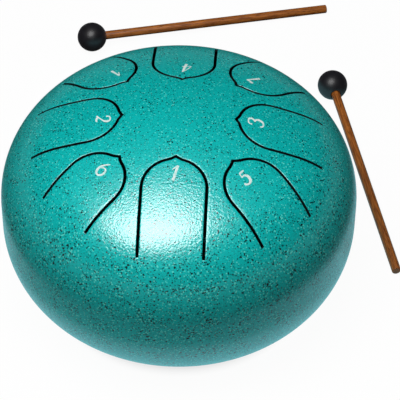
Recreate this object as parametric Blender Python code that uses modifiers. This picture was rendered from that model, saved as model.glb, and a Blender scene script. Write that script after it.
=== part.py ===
"""Ten inch steel tongue drum with eight tongues, and its pair of mallets.

Metres, +Z up. The playing face looks up and tongue 1 points to -Y. The drum's feet and both
mallets stand on the plane z = 0, and the origin is the middle of the whole set's footprint.
"""
import math

import bmesh
import bpy
from mathutils import Vector

# Gap left between two pieces that touch
FIT_GAP = 0.0003

# Pressed steel body. Radii are those of its outer face.
DRUM_RADIUS = 0.127
WALL = 0.002
CROWN_RADIUS = 0.2315
SHOULDER_RADIUS = 0.0643
SIDE_HEIGHT = 0.0188
BELLY_RADIUS = 0.0666
BELLY_ANGLE = math.radians(50)
HEEL_RADIUS = 0.0348
WELD_HEIGHT = 0.003

# Sound hole in the base, with its lip turned up into the drum
SOUND_HOLE_RADIUS = 0.030
LIP_BEND_RADIUS = 0.004
LIP_HEIGHT = 0.003

# Slots that cut the tongues out of the playing face, measured in plan on their centre line.
# The tips of the four longest tongues lie on an inner ring, and the others on an outer ring.
SLOT_WIDTH = 0.002
TONGUE_WIDTH = 0.0444
TIP_POINT_HEIGHT = 0.0015
TIP_POINT_ANGLE = math.radians(17)
INNER_TIP_RING = 0.040
OUTER_TIP_RING = 0.0555
LENGTH_OF_1 = 0.0677
LENGTH_OF_2 = 0.0618
LENGTH_OF_3 = 0.0603
LENGTH_OF_4 = 0.058
LENGTH_OF_5 = 0.0536
LENGTH_OF_6 = 0.0493
LENGTH_OF_7 = 0.0466
LENGTH_OF_HIGH_1 = 0.045

# Rubber foot, open below for the screw's head
FOOT_COUNT = 3
FOOT_HEIGHT = 0.009
FOOT_TOP_RADIUS = 0.010
FOOT_BOTTOM_RADIUS = 0.0085
FOOT_ROUNDING = 0.001
RECESS_CLEARANCE = 0.0008
SCREW_FLOOR_CLEARANCE = 0.0015

# M4 pan-head screw with a flat washer and a hexagon nut. The screw stands out past the nut.
SCREW_RADIUS = 0.002
SCREW_STAND_OUT = 0.0013
SCREW_CHAMFER = 0.0004
SCREW_HEAD_RADIUS = 0.004
SCREW_HEAD_HEIGHT = 0.0026
WASHER_RADIUS = 0.0045
WASHER_THICKNESS = 0.0008
NUT_WIDTH = 0.007
NUT_HEIGHT = 0.0032

# Mallets. The stand-off is from the drum's side to the stick's line on the floor, the heading is
# the stick's direction, and the lead is how far the head lies along it from its nearest point.
MALLET_LENGTH = 0.215
HEAD_RADIUS = 0.012
STICK_RADIUS = 0.0035
STICK_ROUNDING = 0.0008
HEAD_BORE_DEPTH = 0.015
BACK_STAND_OFF = 0.143
BACK_HEADING = math.radians(16.65)
BACK_LEAD = -0.0092
SIDE_STAND_OFF = 0.0329
SIDE_HEADING = math.radians(-76.1)
SIDE_LEAD = -0.1739

# Facets round a full turn, and the steps of arcs in a profile
BODY_STEPS = 64
FOOT_STEPS = 20
SMALL_STEPS = 16
HEAD_STEPS = 20
CROWN_ARC_STEPS = 5
SHOULDER_ARC_STEPS = 8
BELLY_ARC_STEPS = 6
HEEL_ARC_STEPS = 5
BEND_ARC_STEPS = 3
MERGE_DISTANCE = 0.00001

# Places worked out from the sizes above
BASE_Z = FOOT_HEIGHT + FIT_GAP
HEEL_Z = BASE_Z + HEEL_RADIUS
SIDE_BOTTOM_Z = HEEL_Z + (BELLY_RADIUS - HEEL_RADIUS) * math.sin(BELLY_ANGLE)
SIDE_TOP_Z = SIDE_BOTTOM_Z + SIDE_HEIGHT
WELD_Z = (SIDE_BOTTOM_Z + SIDE_TOP_Z) / 2
SHOULDER_CENTRE = DRUM_RADIUS - SHOULDER_RADIUS
CROWN_ANGLE = math.acos(SHOULDER_CENTRE / (CROWN_RADIUS - SHOULDER_RADIUS))
CROWN_Z = SIDE_TOP_Z - (CROWN_RADIUS - SHOULDER_RADIUS) * math.sin(CROWN_ANGLE)
CROWN_TOP_Z = CROWN_Z + CROWN_RADIUS
BELLY_CENTRE = DRUM_RADIUS - BELLY_RADIUS
HEEL_CENTRE = BELLY_CENTRE + (BELLY_RADIUS - HEEL_RADIUS) * math.cos(BELLY_ANGLE)
LIP_OUTER_RADIUS = SOUND_HOLE_RADIUS + LIP_BEND_RADIUS
FOOT_CIRCLE = (LIP_OUTER_RADIUS + HEEL_CENTRE) / 2
SCREW_HOLE_RADIUS = SCREW_RADIUS + FIT_GAP
RECESS_RADIUS = max(WASHER_RADIUS, SCREW_HEAD_RADIUS) + RECESS_CLEARANCE
SCREW_SEAT_Z = SCREW_FLOOR_CLEARANCE + SCREW_HEAD_HEIGHT
WASHER_Z = SCREW_SEAT_Z + FIT_GAP
RECESS_Z = WASHER_Z + WASHER_THICKNESS + FIT_GAP
NUT_Z = BASE_Z + WALL + FIT_GAP
SCREW_TIP_Z = NUT_Z + NUT_HEIGHT + SCREW_STAND_OUT


def clear_scene():
    """Remove every object of the open scene."""
    for obj in list(bpy.data.objects):
        bpy.data.objects.remove(obj, do_unlink=True)


def new_collection(name):
    """Add a collection to the scene."""
    collection = bpy.data.collections.new(name)
    bpy.context.scene.collection.children.link(collection)
    return collection


def new_material(name, colour, roughness, metallic=0.0):
    """Make a plain Principled material from a linear RGB colour."""
    material = bpy.data.materials.new(name)
    material.use_nodes = True
    shader = material.node_tree.nodes["Principled BSDF"]
    shader.inputs["Base Color"].default_value = (*colour, 1.0)
    shader.inputs["Roughness"].default_value = roughness
    shader.inputs["Metallic"].default_value = metallic
    material.diffuse_color = (*colour, 1.0)
    return material


def place(name, data, parent, collection, material=None):
    """Put data into the scene as a named object under its parent."""
    obj = bpy.data.objects.new(name, data)
    obj.parent = parent
    collection.objects.link(obj)
    if material:
        data.materials.append(material)
    return obj


def arc(centre, radius, start, end, steps):
    """Points (r, z) of an arc in the profile plane, with both ends."""
    points = []
    for step in range(steps + 1):
        angle = start + (end - start) * step / steps
        points.append((centre[0] + radius * math.cos(angle), centre[1] + radius * math.sin(angle)))
    return points


def turned(name, profile, steps, parent, collection, material, closed=False):
    """Turn a profile of (r, z) points, outer side first and top to bottom, about Z."""
    mesh = bpy.data.meshes.new(name)
    edges = [(i, i + 1) for i in range(len(profile) - 1)]
    if closed:
        edges.append((len(profile) - 1, 0))
    mesh.from_pydata([(r, 0.0, z) for r, z in profile], edges, [])
    obj = place(name, mesh, parent, collection, material)
    screw = obj.modifiers.new("Turn", 'SCREW')
    screw.axis = 'Z'
    screw.angle = 2 * math.pi
    screw.steps = steps
    screw.render_steps = steps
    screw.use_merge_vertices = True
    screw.merge_threshold = MERGE_DISTANCE
    screw.use_smooth_shade = True
    return obj


def turned_mesh(name, profile, steps, material, closed=False):
    """Turn a profile and keep the result as a mesh that several objects can share."""
    scratch = turned(name, profile, steps, None, bpy.context.scene.collection, material, closed)
    mesh = evaluated_mesh(scratch)
    bpy.data.objects.remove(scratch)
    mesh.name = name
    mesh.shade_smooth()
    mesh.set_sharp_from_angle(angle=math.radians(35))
    return mesh


def evaluated_mesh(obj):
    """Mesh of an object as its modifiers leave it."""
    bpy.context.view_layer.update()
    depsgraph = bpy.context.evaluated_depsgraph_get()
    return bpy.data.meshes.new_from_object(obj.evaluated_get(depsgraph))


def cut(target, cutter):
    """Take the cutter's volume out of the target."""
    boolean = target.modifiers.new("Cut " + cutter.name, 'BOOLEAN')
    boolean.operation = 'DIFFERENCE'
    boolean.solver = 'EXACT'
    boolean.object = cutter


def as_cutter(obj):
    """Show an object as a wire guide that is not part of the model."""
    obj.hide_render = True
    obj.display_type = 'WIRE'
    return obj


def upper_wall(inset):
    """Profile of the playing shell's face at a depth below its outer face, crown to weld."""
    points = arc((0.0, CROWN_Z), CROWN_RADIUS - inset, math.pi / 2, CROWN_ANGLE, CROWN_ARC_STEPS)
    points += arc((SHOULDER_CENTRE, SIDE_TOP_Z), SHOULDER_RADIUS - inset, CROWN_ANGLE, 0.0,
                  SHOULDER_ARC_STEPS)[1:]
    points.append((DRUM_RADIUS - inset, WELD_Z + WELD_HEIGHT / 2 + FIT_GAP))
    return points


def lower_wall(inset):
    """Profile of the lower shell's face at a depth below its outer face, weld to lip."""
    points = [(DRUM_RADIUS - inset, WELD_Z - WELD_HEIGHT / 2 - FIT_GAP)]
    points += arc((BELLY_CENTRE, SIDE_BOTTOM_Z), BELLY_RADIUS - inset, 0.0, -BELLY_ANGLE,
                  BELLY_ARC_STEPS)
    points += arc((HEEL_CENTRE, HEEL_Z), HEEL_RADIUS - inset, -BELLY_ANGLE, -math.pi / 2,
                  HEEL_ARC_STEPS)[1:]
    points += arc((LIP_OUTER_RADIUS, BASE_Z + LIP_BEND_RADIUS), LIP_BEND_RADIUS - inset,
                  -math.pi / 2, -math.pi, BEND_ARC_STEPS)
    points.append((SOUND_HOLE_RADIUS + inset, BASE_Z + LIP_BEND_RADIUS + LIP_HEIGHT))
    return points


def slot_line(tip_ring, length):
    """Centre line of a tongue's slot in plan, with the tongue pointing along +X from its tip.

    Two parallel sides run in from the rim and meet in a round arch with a small point.
    """
    half_width = TONGUE_WIDTH / 2
    arch_centre = tip_ring + TIP_POINT_HEIGHT + half_width
    angles = [math.radians(a) for a in (90, 75, 60, 45, 30)]
    angles += [TIP_POINT_ANGLE, TIP_POINT_ANGLE / 2]
    side = [(tip_ring + length, half_width)]
    for angle in angles:
        closeness = max(0.0, 1 - angle / TIP_POINT_ANGLE)
        radius = half_width + TIP_POINT_HEIGHT * closeness ** 2
        side.append((arch_centre - radius * math.cos(angle), radius * math.sin(angle)))
    other_side = [(x, -y) for x, y in reversed(side)]
    return side + [(tip_ring, 0.0)] + other_side


def slot_cutter(name, tip_ring, length, azimuth, parent, collection):
    """Upright ribbon along a slot's centre line, as thick as the slot is wide."""
    line = slot_line(tip_ring, length)
    low_z = SIDE_TOP_Z + WALL
    high_z = CROWN_TOP_Z + WALL
    curve = bpy.data.curves.new(name, 'CURVE')
    curve.dimensions = '2D'
    curve.fill_mode = 'NONE'
    curve.extrude = (high_z - low_z) / 2
    spline = curve.splines.new('POLY')
    spline.points.add(len(line) - 1)
    for point, (x, y) in zip(spline.points, line):
        point.co = (x, y, 0.0, 1.0)
    drawn = place(name, curve, None, collection)
    mesh = evaluated_mesh(drawn)
    bpy.data.objects.remove(drawn)
    shape = bmesh.new()
    shape.from_mesh(mesh)
    bmesh.ops.remove_doubles(shape, verts=shape.verts, dist=MERGE_DISTANCE)
    shape.to_mesh(mesh)
    shape.free()
    cutter = as_cutter(place(name, mesh, parent, collection))
    cutter.location = (0.0, 0.0, (high_z + low_z) / 2)
    cutter.rotation_euler = (0.0, 0.0, azimuth)
    width = cutter.modifiers.new("Slot width", 'SOLIDIFY')
    width.thickness = SLOT_WIDTH
    width.offset = 0.0
    width.use_even_offset = True
    return cutter


def foot_places():
    """Centres of the feet, evenly spaced round the sound hole, the first towards -Y."""
    places = []
    for index in range(FOOT_COUNT):
        azimuth = -math.pi / 2 + 2 * math.pi * index / FOOT_COUNT
        places.append(Vector((FOOT_CIRCLE * math.cos(azimuth), FOOT_CIRCLE * math.sin(azimuth), 0.0)))
    return places


def build_body(root, parts, cutters):
    """The two pressed shells and the ground weld between them."""
    paint = new_material("top_shell_paint", (0.005, 0.36, 0.31), 0.35, 0.2)
    top = turned("top_shell", upper_wall(0.0) + upper_wall(WALL)[::-1], BODY_STEPS, root, parts, paint)
    tongues = (
        ("1", INNER_TIP_RING, LENGTH_OF_1),
        ("5", OUTER_TIP_RING, LENGTH_OF_5),
        ("3", INNER_TIP_RING, LENGTH_OF_3),
        ("7", OUTER_TIP_RING, LENGTH_OF_7),
        ("4", INNER_TIP_RING, LENGTH_OF_4),
        ("high_1", OUTER_TIP_RING, LENGTH_OF_HIGH_1),
        ("2", INNER_TIP_RING, LENGTH_OF_2),
        ("6", OUTER_TIP_RING, LENGTH_OF_6),
    )
    for index, (note, tip_ring, length) in enumerate(tongues):
        azimuth = -math.pi / 2 + 2 * math.pi * index / len(tongues)
        cut(top, slot_cutter("slot_" + note, tip_ring, length, azimuth, root, cutters))

    low, high = WELD_Z - WELD_HEIGHT / 2, WELD_Z + WELD_HEIGHT / 2
    inner = DRUM_RADIUS - WALL
    bead = [(DRUM_RADIUS, high), (DRUM_RADIUS, low), (inner, low), (inner, high)]
    weld_paint = new_material("seam_weld_paint", (0.005, 0.30, 0.27), 0.4, 0.2)
    turned("seam_weld", bead, BODY_STEPS, root, parts, weld_paint, closed=True)

    lower_paint = new_material("bottom_shell_paint", (0.005, 0.34, 0.30), 0.35, 0.2)
    bottom = turned("bottom_shell", lower_wall(0.0) + lower_wall(WALL)[::-1], BODY_STEPS, root,
                    parts, lower_paint, closed=True)
    drill = turned_mesh("screw_hole", [
        (0.0, BASE_Z + 2 * WALL), (SCREW_HOLE_RADIUS, BASE_Z + 2 * WALL),
        (SCREW_HOLE_RADIUS, BASE_Z - WALL), (0.0, BASE_Z - WALL)], SMALL_STEPS, None)
    for number, centre in enumerate(foot_places(), 1):
        hole = as_cutter(place("screw_hole_" + str(number), drill, root, cutters))
        hole.location = centre
        cut(bottom, hole)


def foot_profile():
    """Tapered bumper with a rounded lower edge, a recess from below and a screw hole."""
    slope = math.atan2(FOOT_TOP_RADIUS - FOOT_BOTTOM_RADIUS, FOOT_HEIGHT)
    corner = (FOOT_BOTTOM_RADIUS - FOOT_ROUNDING, FOOT_ROUNDING)
    points = [(SCREW_HOLE_RADIUS, FOOT_HEIGHT), (FOOT_TOP_RADIUS, FOOT_HEIGHT)]
    points += arc(corner, FOOT_ROUNDING, -slope, -math.pi / 2, BEND_ARC_STEPS)
    points += [(RECESS_RADIUS, 0.0), (RECESS_RADIUS, RECESS_Z), (SCREW_HOLE_RADIUS, RECESS_Z)]
    return points


def screw_profile():
    """Shank up from the bearing face, and a pan head with a rounded edge below it."""
    edge = SCREW_HEAD_HEIGHT / 2
    head_z = SCREW_SEAT_Z - SCREW_HEAD_HEIGHT
    points = [(0.0, SCREW_TIP_Z), (SCREW_RADIUS - SCREW_CHAMFER, SCREW_TIP_Z),
              (SCREW_RADIUS, SCREW_TIP_Z - SCREW_CHAMFER)]
    points += [(SCREW_RADIUS, SCREW_SEAT_Z), (SCREW_HEAD_RADIUS, SCREW_SEAT_Z)]
    points += arc((SCREW_HEAD_RADIUS - edge, head_z + edge), edge, 0.0, -math.pi / 2, BEND_ARC_STEPS)
    points.append((0.0, head_z))
    return points


def nut_curve():
    """Flat hexagon with its bore, extruded to the nut's height."""
    curve = bpy.data.curves.new("foot_nut", 'CURVE')
    curve.dimensions = '2D'
    curve.fill_mode = 'BOTH'
    curve.extrude = NUT_HEIGHT / 2
    corner_radius = NUT_WIDTH / 2 / math.cos(math.pi / 6)
    for count, radius in ((6, corner_radius), (SMALL_STEPS, SCREW_HOLE_RADIUS)):
        spline = curve.splines.new('POLY')
        spline.use_cyclic_u = True
        spline.points.add(count - 1)
        for index, point in enumerate(spline.points):
            angle = 2 * math.pi * index / count
            point.co = (radius * math.cos(angle), radius * math.sin(angle), 0.0, 1.0)
    return curve


def build_feet(root, parts):
    """Three rubber feet, each held by a screw, a washer and a nut inside the drum."""
    washer_top = WASHER_Z + WASHER_THICKNESS
    washer_profile = [(WASHER_RADIUS, washer_top), (WASHER_RADIUS, WASHER_Z),
                      (SCREW_HOLE_RADIUS, WASHER_Z), (SCREW_HOLE_RADIUS, washer_top)]
    for number, centre in enumerate(foot_places(), 1):
        rubber = new_material("foot_rubber_" + str(number), (0.012, 0.012, 0.013), 0.7)
        zinc = new_material("washer_steel_" + str(number), (0.55, 0.56, 0.57), 0.35, 1.0)
        steel = new_material("screw_steel_" + str(number), (0.5, 0.51, 0.52), 0.3, 1.0)
        nut_steel = new_material("nut_steel_" + str(number), (0.5, 0.51, 0.52), 0.3, 1.0)
        pieces = [
            turned("foot_" + str(number), foot_profile(), FOOT_STEPS, root, parts, rubber, True),
            turned("foot_washer_" + str(number), washer_profile, FOOT_STEPS, root, parts, zinc, True),
            turned("foot_screw_" + str(number), screw_profile(), SMALL_STEPS, root, parts, steel),
        ]
        for piece in pieces:
            piece.location = centre
        nut = place("foot_nut_" + str(number), nut_curve(), root, parts, nut_steel)
        nut.location = centre + Vector((0.0, 0.0, NUT_Z + NUT_HEIGHT / 2))


def head_profile():
    """Ball along Z with a blind bore for the stick, opening downwards."""
    bore = STICK_RADIUS + FIT_GAP
    mouth = math.acos(bore / HEAD_RADIUS)
    points = arc((0.0, 0.0), HEAD_RADIUS, math.pi / 2, -mouth, HEAD_STEPS // 2)
    bore_end = HEAD_BORE_DEPTH - HEAD_RADIUS
    return points + [(bore, bore_end), (0.0, bore_end)]


def build_mallet(side, stand_off, heading, lead, root, parts):
    """A rubber ball on a wooden stick, lying with both on the floor beside the drum."""
    along = Vector((math.cos(heading), math.sin(heading), 0.0))
    away = Vector((-along.y, along.x, 0.0))
    reach = MALLET_LENGTH - HEAD_RADIUS
    contact = reach - STICK_ROUNDING
    tilt = math.asin(HEAD_RADIUS / math.hypot(contact, STICK_RADIUS)) - math.atan2(STICK_RADIUS, contact)

    lift = bpy.data.objects.new("mallet_" + side + "_lift", None)
    lift.empty_display_size = HEAD_RADIUS
    lift.parent = root
    parts.objects.link(lift)
    lift.location = away * (DRUM_RADIUS + stand_off) + along * lead + Vector((0.0, 0.0, HEAD_RADIUS))
    # Local -Z runs along the stick, which falls by the tilt from the ball's centre to its tail
    lift.rotation_euler = (0.0, tilt - math.pi / 2, heading)

    rubber = new_material("mallet_" + side + "_rubber", (0.010, 0.010, 0.012), 0.4)
    wood = new_material("mallet_" + side + "_wood", (0.30, 0.10, 0.02), 0.5)
    turned("mallet_" + side + "_head", head_profile(), HEAD_STEPS, lift, parts, rubber)

    stick_top = HEAD_BORE_DEPTH - HEAD_RADIUS - FIT_GAP
    bpy.ops.mesh.primitive_cylinder_add(vertices=SMALL_STEPS, radius=STICK_RADIUS,
                                        depth=stick_top + reach)
    stick = bpy.context.object
    stick.name = "mallet_" + side + "_stick"
    for collection in list(stick.users_collection):
        collection.objects.unlink(stick)
    parts.objects.link(stick)
    stick.parent = lift
    stick.location = (0.0, 0.0, (stick_top - reach) / 2)
    stick.data.materials.append(wood)
    ends = stick.modifiers.new("Rounded ends", 'BEVEL')
    ends.width = STICK_ROUNDING
    ends.segments = 2
    ends.limit_method = 'ANGLE'
    ends.angle_limit = math.radians(60)


def centre_on_footprint(root, parts):
    """Move the whole set so that the origin is the middle of its footprint."""
    bpy.context.view_layer.update()
    depsgraph = bpy.context.evaluated_depsgraph_get()
    corners = []
    for obj in parts.objects:
        if obj.type == 'EMPTY':
            continue
        solid = obj.evaluated_get(depsgraph)
        mesh = solid.to_mesh()
        corners += [solid.matrix_world @ vertex.co for vertex in mesh.vertices]
        solid.to_mesh_clear()
    for axis in (0, 1):
        values = [corner[axis] for corner in corners]
        root.location[axis] = -(min(values) + max(values)) / 2
    root.location[2] = -min(corner.z for corner in corners)


clear_scene()
parts = new_collection("tongue_drum")
cutters = new_collection("cutters")
root = bpy.data.objects.new("tongue_drum_root", None)
parts.objects.link(root)
build_body(root, parts, cutters)
build_feet(root, parts)
build_mallet("back", BACK_STAND_OFF, BACK_HEADING, BACK_LEAD, root, parts)
build_mallet("side", SIDE_STAND_OFF, SIDE_HEADING, SIDE_LEAD, root, parts)
centre_on_footprint(root, parts)
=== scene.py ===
"""Looks of a ten inch steel tongue drum and its pair of mallets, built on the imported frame."""
import math

import bmesh
import bpy
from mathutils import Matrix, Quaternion, Vector


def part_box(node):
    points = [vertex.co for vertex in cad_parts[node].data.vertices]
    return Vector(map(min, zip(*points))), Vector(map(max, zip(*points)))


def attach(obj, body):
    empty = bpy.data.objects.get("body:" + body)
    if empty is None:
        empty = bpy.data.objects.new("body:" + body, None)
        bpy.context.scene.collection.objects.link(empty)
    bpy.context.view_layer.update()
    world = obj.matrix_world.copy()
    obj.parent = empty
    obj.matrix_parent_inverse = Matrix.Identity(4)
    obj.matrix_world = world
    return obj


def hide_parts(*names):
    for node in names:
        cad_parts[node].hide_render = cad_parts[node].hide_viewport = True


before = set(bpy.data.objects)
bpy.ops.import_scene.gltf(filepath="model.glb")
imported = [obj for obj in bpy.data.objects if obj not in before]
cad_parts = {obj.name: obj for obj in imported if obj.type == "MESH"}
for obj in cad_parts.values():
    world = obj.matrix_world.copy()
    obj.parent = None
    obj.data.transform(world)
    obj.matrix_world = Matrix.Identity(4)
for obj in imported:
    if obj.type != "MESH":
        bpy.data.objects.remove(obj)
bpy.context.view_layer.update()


# Playing shell. It starts as a flat blank of 2 mm steel sheet: the slots that free the eight tongues
# are cut through it, the coating rounds their edges, and the blank is pressed to its dome and side.
# Its finish is a teal metallic powder coat with dark and pale flecks and a fine orange-peel texture.
shell_low, shell_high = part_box("top_shell")
weld_low, weld_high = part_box("seam_weld")
AXIS = ((shell_low + shell_high) / 2).to_2d()
DRUM_RADIUS = (shell_high.x - shell_low.x) / 2
CROWN_TOP = shell_high.z
WALL = 0.002
CROWN_RADIUS = 0.2315
SHOULDER_RADIUS = 0.0643
SHOULDER_CENTRE = DRUM_RADIUS - SHOULDER_RADIUS
CROWN_CENTRE_Z = CROWN_TOP - CROWN_RADIUS
CROWN_SLOPE = math.asin(SHOULDER_CENTRE / (CROWN_RADIUS - SHOULDER_RADIUS))
CROWN_EDGE = CROWN_RADIUS * math.sin(CROWN_SLOPE)
SIDE_TOP = CROWN_CENTRE_Z + (CROWN_RADIUS - SHOULDER_RADIUS) * math.cos(CROWN_SLOPE)
# Slots on their centre line. The name, tip ring and length of each tongue go round from the player.
SLOT_WIDTH = 0.002
TONGUE_WIDTH = 0.0444
TIP_POINT_HEIGHT = 0.0022
TIP_POINT_ANGLE = math.radians(15)
INNER_TIP_RING = 0.0395
OUTER_TIP_RING = 0.0545
TONGUES = (
    ("1", INNER_TIP_RING, 0.0682),
    ("5", OUTER_TIP_RING, 0.0546),
    ("3", INNER_TIP_RING, 0.0608),
    ("7", OUTER_TIP_RING, 0.0476),
    ("4", INNER_TIP_RING, 0.0585),
    ("high_1", OUTER_TIP_RING, 0.0460),
    ("2", INNER_TIP_RING, 0.0623),
    ("6", OUTER_TIP_RING, 0.0503),
)
# The blank keeps its plan out to this radius, which lies past the slots, and wraps the side from there
PLAN_RADIUS = 0.114
PLAN_SLOPE = math.asin((PLAN_RADIUS - SHOULDER_CENTRE) / SHOULDER_RADIUS)
WRAP_LENGTH = (math.pi / 2 - PLAN_SLOPE) * SHOULDER_RADIUS
BLANK_RADIUS = PLAN_RADIUS + WRAP_LENGTH + SIDE_TOP - weld_high.z
EDGE_ROLL = 0.00035
# Fineness of the blank: points round it and round a slot's arch, and the grid that lets it bend
BLANK_STEPS = 256
ARCH_STEPS = 96
GRID_STEP = 0.0025
# Limits on a face's normal.z: below the first it is a cut wall, below the second it faces down
WALL_NORMAL = 0.5
UNDERSIDE_NORMAL = -0.9


def deselect_all():
    """Leave edit mode, with no object selected."""
    if bpy.context.mode != 'OBJECT':
        bpy.ops.object.mode_set(mode='OBJECT')
    bpy.ops.object.select_all(action='DESELECT')


def select_only(obj):
    """Make one object the only one selected, and the active one."""
    deselect_all()
    bpy.context.view_layer.objects.active = obj
    obj.select_set(True)


def edit(obj):
    """Open one object in edit mode."""
    select_only(obj)
    bpy.ops.object.mode_set(mode='EDIT')


def select(kind, test):
    """Select the vertices, edges or faces of the object in edit mode that pass a test."""
    bpy.ops.mesh.select_mode(type=kind)
    bpy.ops.mesh.select_all(action='DESELECT')
    mesh = bpy.context.object.data
    shape = bmesh.from_edit_mesh(mesh)
    for element in {'VERT': shape.verts, 'EDGE': shape.edges, 'FACE': shape.faces}[kind]:
        if test(element):
            element.select_set(True)
    shape.select_flush_mode()
    bmesh.update_edit_mesh(mesh)


def extrude_by(x, z):
    """Extrude what is selected sideways and upwards."""
    bpy.ops.mesh.extrude_region_move(TRANSFORM_OT_translate={"value": (x, 0.0, z)})


def give_selected(obj, material):
    """Give the selected faces of the object in edit mode another material."""
    obj.data.materials.append(material)
    obj.active_material_index = len(obj.data.materials) - 1
    bpy.ops.object.material_slot_assign()


def modify(obj, kind, **settings):
    """Put a modifier on an object and apply it."""
    select_only(obj)
    modifier = obj.modifiers.new(kind, kind)
    for name, value in settings.items():
        setattr(modifier, name, value)
    bpy.ops.object.modifier_apply(modifier=modifier.name)


def subtract(obj, cutter, operation='DIFFERENCE'):
    """Cut an object by another, which is used up."""
    modify(obj, 'BOOLEAN', operation=operation, solver='EXACT', object=cutter)
    bpy.data.objects.remove(cutter)


def joined(objects):
    """Join several objects into the first."""
    deselect_all()
    for obj in objects:
        obj.select_set(True)
    bpy.context.view_layer.objects.active = objects[0]
    bpy.ops.object.join()
    return objects[0]


def finish(obj, material, body, slot, *nodes, sharp=math.radians(40)):
    """Give a piece its material, shade it smooth but for sharp edges, and tie it to its body."""
    select_only(obj)
    bpy.ops.object.transform_apply(location=True, rotation=True, scale=True)
    bpy.ops.object.shade_smooth_by_angle(angle=sharp)
    if not obj.data.materials:
        obj.data.materials.append(material)
    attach(obj, body)
    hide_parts(*nodes)


def linear(code):
    """Linear RGBA of an sRGB hex colour."""
    values = [int(code[i:i + 2], 16) / 255 for i in (0, 2, 4)]
    return [v / 12.92 if v <= 0.04045 else ((v + 0.055) / 1.055) ** 2.4 for v in values] + [1.0]


def add(tree, kind, inputs=None, **settings):
    """Add a node with its settings. An input is given its value, or the output that feeds it."""
    node = tree.nodes.new("ShaderNode" + kind)
    for name, value in settings.items():
        setattr(node, name, value)
    for name, value in (inputs or {}).items():
        if isinstance(value, bpy.types.NodeSocket):
            tree.links.new(value, node.inputs[name])
        else:
            node.inputs[name].default_value = value
    return node


def new_material(name):
    """Start a material. Returns it, its tree, its shader and the place on the piece."""
    material = bpy.data.materials.new(name)
    material.use_nodes = True
    tree = material.node_tree
    return material, tree, tree.nodes["Principled BSDF"], add(tree, "TexCoord").outputs["Object"]


# Sockets of a Mix node that mixes colours
FACTOR, FIRST, SECOND, MIXED = 0, 6, 7, 2


def powder_coat(name):
    """Teal metallic powder coat: flakes glow round the light's mirror point, over a rough gloss."""
    # Each kind of fleck: the cell that holds one, its radius, how far clusters vary it, its colour
    flecks = (
        (0.0015, 0.00030, 0.25, "032C30"),
        (0.0034, 0.00052, 0.30, "032C30"),
        (0.0021, 0.00039, 0.20, "80FFF4"),
    )
    fleck_fade = 0.00016
    fleck_opacity = 0.95
    # The melt draws each fleck out of round
    ragged_size = 0.0009
    ragged_reach = 0.0009
    # Flecks gather in clusters, and are larger down the side than on the crown
    cluster_size = 0.012
    sparse_above = 0.155
    dense_below = 0.120
    sparse_share = 0.86
    dense_share = 1.20
    # The metal flakes are under 0.1 mm, so they are drawn as a coarser mottle
    mottle_size = 0.0009
    peel_size = 0.0014
    peel_depth = 0.00025
    material, tree, shader, place = new_material(name)
    mottle = add(tree, "TexNoise", {"Vector": place, "Scale": 1 / mottle_size, "Detail": 2.0})
    mottled = add(tree, "MapRange", {"Value": mottle.outputs["Fac"],
                                     "From Min": 0.35, "From Max": 0.65})
    coloured = add(tree, "Mix", {FACTOR: mottled.outputs["Result"], FIRST: linear("06D2CE"),
                                 SECOND: linear("08E9E6")}, data_type='RGBA')
    cluster = add(tree, "TexNoise", {"Vector": place, "Scale": 1 / cluster_size, "Detail": 2.0})
    height = add(tree, "SeparateXYZ", {"Vector": place})
    spray = add(tree, "MapRange", {"Value": height.outputs["Z"],
                                   "From Min": dense_below, "From Max": sparse_above,
                                   "To Min": dense_share, "To Max": sparse_share})
    ragged = add(tree, "TexNoise", {"Vector": place, "Scale": 1 / ragged_size, "Detail": 1.0})
    strayed = add(tree, "VectorMath", {0: ragged.outputs["Color"], 1: [ragged_reach] * 3, 2: place},
                  operation='MULTIPLY_ADD')
    for cell, size, spread, colour in flecks:
        clustered = add(tree, "MapRange", {"Value": cluster.outputs["Fac"],
                                           "From Min": 0.35, "From Max": 0.65,
                                           "To Min": (1 - spread) * size / cell,
                                           "To Max": (1 + spread) * size / cell})
        radius = add(tree, "Math", {0: clustered.outputs["Result"], 1: spray.outputs["Result"]},
                     operation='MULTIPLY')
        rim = add(tree, "Math", {0: radius.outputs[0], 1: fleck_fade / cell}, operation='ADD')
        cells = add(tree, "TexVoronoi", {"Vector": strayed.outputs["Vector"], "Scale": 1 / cell})
        fleck = add(tree, "MapRange", {"Value": cells.outputs["Distance"],
                                       "From Min": radius.outputs[0], "From Max": rim.outputs[0],
                                       "To Min": fleck_opacity, "To Max": 0.0})
        coloured = add(tree, "Mix", {FACTOR: fleck.outputs["Result"], FIRST: coloured.outputs[MIXED],
                                     SECOND: linear(colour)}, data_type='RGBA')
    peel = add(tree, "TexNoise", {"Vector": place, "Scale": 1 / peel_size, "Detail": 1.0})
    waves = add(tree, "Bump", {"Height": peel.outputs["Fac"], "Strength": 1.0,
                               "Distance": peel_depth})
    soft_waves = add(tree, "Bump", {"Height": peel.outputs["Fac"], "Strength": 0.4,
                                    "Distance": peel_depth})
    tree.links.new(coloured.outputs[MIXED], shader.inputs["Base Color"])
    tree.links.new(soft_waves.outputs["Normal"], shader.inputs["Normal"])
    tree.links.new(waves.outputs["Normal"], shader.inputs["Coat Normal"])
    shader.inputs["Metallic"].default_value = 0.75
    shader.inputs["Roughness"].default_value = 0.81
    shader.inputs["Specular Tint"].default_value = linear("06DFDC")
    shader.inputs["Coat Weight"].default_value = 1.0
    shader.inputs["Coat Roughness"].default_value = 0.23
    shader.inputs["Coat IOR"].default_value = 2.15
    return material


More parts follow.
